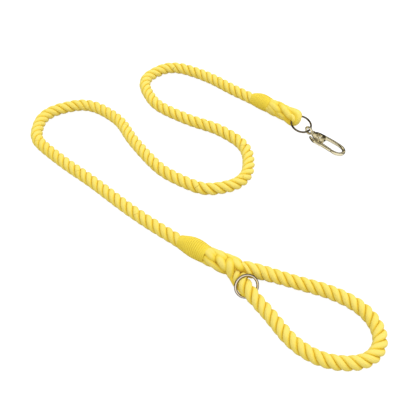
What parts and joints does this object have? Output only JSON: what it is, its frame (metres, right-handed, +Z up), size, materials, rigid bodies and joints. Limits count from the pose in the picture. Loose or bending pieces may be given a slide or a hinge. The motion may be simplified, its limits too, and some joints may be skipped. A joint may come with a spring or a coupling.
{
  "type": "training leash",
  "caption": "Laid-rope training leash with a spliced hand loop and whippings, a ring on the loop, a spliced clip end with a ring, and a swivel snap hook with a sprung gate.",
  "frame": {"origin": "on the ground under the first rope length, at the middle of its underside flat, where the leash rests; the rope rests on z = 0", "axes": "+Z up from the ground, +X towards the hand loop and the snap hook, +Y towards the clip end"},
  "size_m": [0.362, 0.4341, 0.0212],
  "materials": {
    "rope": "soft spun cotton, matt, three laid strands",
    "twine": "waxed whipping twine, slight sheen",
    "gold_plate": "polished pale gold plate",
    "spring_steel": "plain spring steel"
  },
  "bodies": {
    "handle": {"handle_splice": "rope", "handle_whipping": "twine"},
    "hand_loop": {"hand_loop": "rope"},
    "handle_ring": {"handle_ring": "gold_plate"},
    "rope_01": {"rope_01": "rope"},
    "rope_02": {"rope_02": "rope"},
    "rope_03": {"rope_03": "rope"},
    "rope_04": {"rope_04": "rope"},
    "rope_05": {"rope_05": "rope"},
    "rope_06": {"rope_06": "rope"},
    "rope_07": {"rope_07": "rope"},
    "rope_08": {"rope_08": "rope"},
    "rope_09": {"rope_09": "rope"},
    "rope_10": {"rope_10": "rope"},
    "rope_11": {"rope_11": "rope"},
    "rope_12": {"rope_12": "rope"},
    "rope_13": {"rope_13": "rope"},
    "rope_14": {"rope_14": "rope"},
    "rope_15": {"rope_15": "rope"},
    "clip_end": {"clip_splice": "rope", "clip_whipping": "twine"},
    "clip_ring": {"clip_ring": "gold_plate"},
    "swivel": {"swivel_eye": "gold_plate"},
    "hook": {"gate_pin": "gold_plate", "gate_spring": "spring_steel", "hook_body": "gold_plate"},
    "gate": {"gate": "gold_plate"}
  },
  "joints": [
    {"name": "bend_rope_01", "type": "hinge", "parent": "handle", "child": "rope_01", "pos_m": [0.0338, -0.0266, 0.00628], "axis": [0, 0, 1], "range_deg": [-5, 25], "stiffness_Nm_per_rad": 0.002},
    {"name": "bend_rope_02", "type": "hinge", "parent": "rope_01", "child": "rope_02", "pos_m": [-0.03785, 0.03413, 0.00628], "axis": [0, 0, 1], "range_deg": [-5, 25], "stiffness_Nm_per_rad": 0.002},
    {"name": "bend_rope_03", "type": "hinge", "parent": "rope_02", "child": "rope_03", "pos_m": [-0.10451, 0.09453, 0.00628], "axis": [0, 0, 1], "range_deg": [-2, 45], "stiffness_Nm_per_rad": 0.002},
    {"name": "bend_rope_04", "type": "hinge", "parent": "rope_03", "child": "rope_04", "pos_m": [-0.12865, 0.13783, 0.00628], "axis": [0, 0, 1], "range_deg": [-2, 50], "stiffness_Nm_per_rad": 0.002},
    {"name": "bend_rope_05", "type": "hinge", "parent": "rope_04", "child": "rope_05", "pos_m": [-0.10016, 0.17571, 0.00628], "axis": [0, 0, 1], "range_deg": [-2, 50], "stiffness_Nm_per_rad": 0.002},
    {"name": "bend_rope_06", "type": "hinge", "parent": "rope_05", "child": "rope_06", "pos_m": [-0.04969, 0.16355, 0.00628], "axis": [0, 0, 1], "range_deg": [-2, 50], "stiffness_Nm_per_rad": 0.002},
    {"name": "bend_rope_07", "type": "hinge", "parent": "rope_06", "child": "rope_07", "pos_m": [-0.01031, 0.10642, 0.00628], "axis": [0, 0, -1], "range_deg": [-3, 30], "stiffness_Nm_per_rad": 0.002},
    {"name": "bend_rope_08", "type": "hinge", "parent": "rope_07", "child": "rope_08", "pos_m": [0.03662, 0.0557, 0.00628], "axis": [0, 0, -1], "range_deg": [-3, 45], "stiffness_Nm_per_rad": 0.002},
    {"name": "bend_rope_09", "type": "hinge", "parent": "rope_08", "child": "rope_09", "pos_m": [0.08283, 0.04393, 0.00628], "axis": [0, 0, -1], "range_deg": [-3, 50], "stiffness_Nm_per_rad": 0.002},
    {"name": "bend_rope_10", "type": "hinge", "parent": "rope_09", "child": "rope_10", "pos_m": [0.11166, 0.07866, 0.00628], "axis": [0, 0, -1], "range_deg": [-3, 50], "stiffness_Nm_per_rad": 0.002},
    {"name": "bend_rope_11", "type": "hinge", "parent": "rope_10", "child": "rope_11", "pos_m": [0.0932, 0.12436, 0.00628], "axis": [0, 0, -1], "range_deg": [-3, 50], "stiffness_Nm_per_rad": 0.002},
    {"name": "bend_rope_12", "type": "hinge", "parent": "rope_11", "child": "rope_12", "pos_m": [0.03547, 0.15965, 0.00628], "axis": [0, 0, 1], "range_deg": [-2, 40], "stiffness_Nm_per_rad": 0.002},
    {"name": "bend_rope_13", "type": "hinge", "parent": "rope_12", "child": "rope_13", "pos_m": [-0.00262, 0.19762, 0.00628], "axis": [0, 0, 1], "range_deg": [-2, 50], "stiffness_Nm_per_rad": 0.002},
    {"name": "bend_rope_14", "type": "hinge", "parent": "rope_13", "child": "rope_14", "pos_m": [0.0014, 0.24303, 0.00628], "axis": [0, 0, 1], "range_deg": [-2, 50], "stiffness_Nm_per_rad": 0.002},
    {"name": "bend_rope_15", "type": "hinge", "parent": "rope_14", "child": "rope_15", "pos_m": [0.05015, 0.24502, 0.00628], "axis": [0, 0, 1], "range_deg": [-2, 50], "stiffness_Nm_per_rad": 0.002},
    {"name": "bend_clip_end", "type": "hinge", "parent": "rope_15", "child": "clip_end", "pos_m": [0.11677, 0.19582, 0.00628], "axis": [0, 0, 1], "range_deg": [-8, 20], "stiffness_Nm_per_rad": 0.002},
    {"name": "hand_loop_lift", "type": "hinge", "parent": "handle", "child": "hand_loop", "pos_m": [0.09582, -0.06869, 0.01043], "axis": [-0.509, -0.8607, 0], "range_deg": [0, 25], "stiffness_Nm_per_rad": 0.002},
    {"name": "handle_ring_turn", "type": "hinge", "parent": "hand_loop", "child": "handle_ring", "pos_m": [0.10575, -0.08828, 0.00993], "axis": [0.4893, -0.8663, -0.1004], "range_deg": [-15, 20]},
    {"name": "clip_ring_swing", "type": "hinge", "parent": "clip_end", "child": "clip_ring", "pos_m": [0.16878, 0.15155, 0.011], "axis": [-0.6947, -0.7193, 0], "range_deg": [-20, 80]},
    {"name": "swivel_swing", "type": "hinge", "parent": "clip_ring", "child": "swivel", "pos_m": [0.18532, 0.13558, 0.0051], "axis": [-0.6947, -0.7193, 0], "range_deg": [-60, 75]},
    {"name": "hook_spin", "type": "hinge", "parent": "swivel", "child": "hook", "pos_m": [0.19273, 0.12817, 0.00488], "axis": [0.7059, -0.7059, -0.0593], "continuous": true},
    {"name": "gate_open", "type": "hinge", "parent": "hook", "child": "gate", "pos_m": [0.1947, 0.11871, 0.0044], "axis": [0.0419, -0.0419, 0.9982], "range_deg": [0, 20], "stiffness_Nm_per_rad": 0.02, "springref_deg": -20.05, "deforming": ["gate_spring"]}
  ]
}
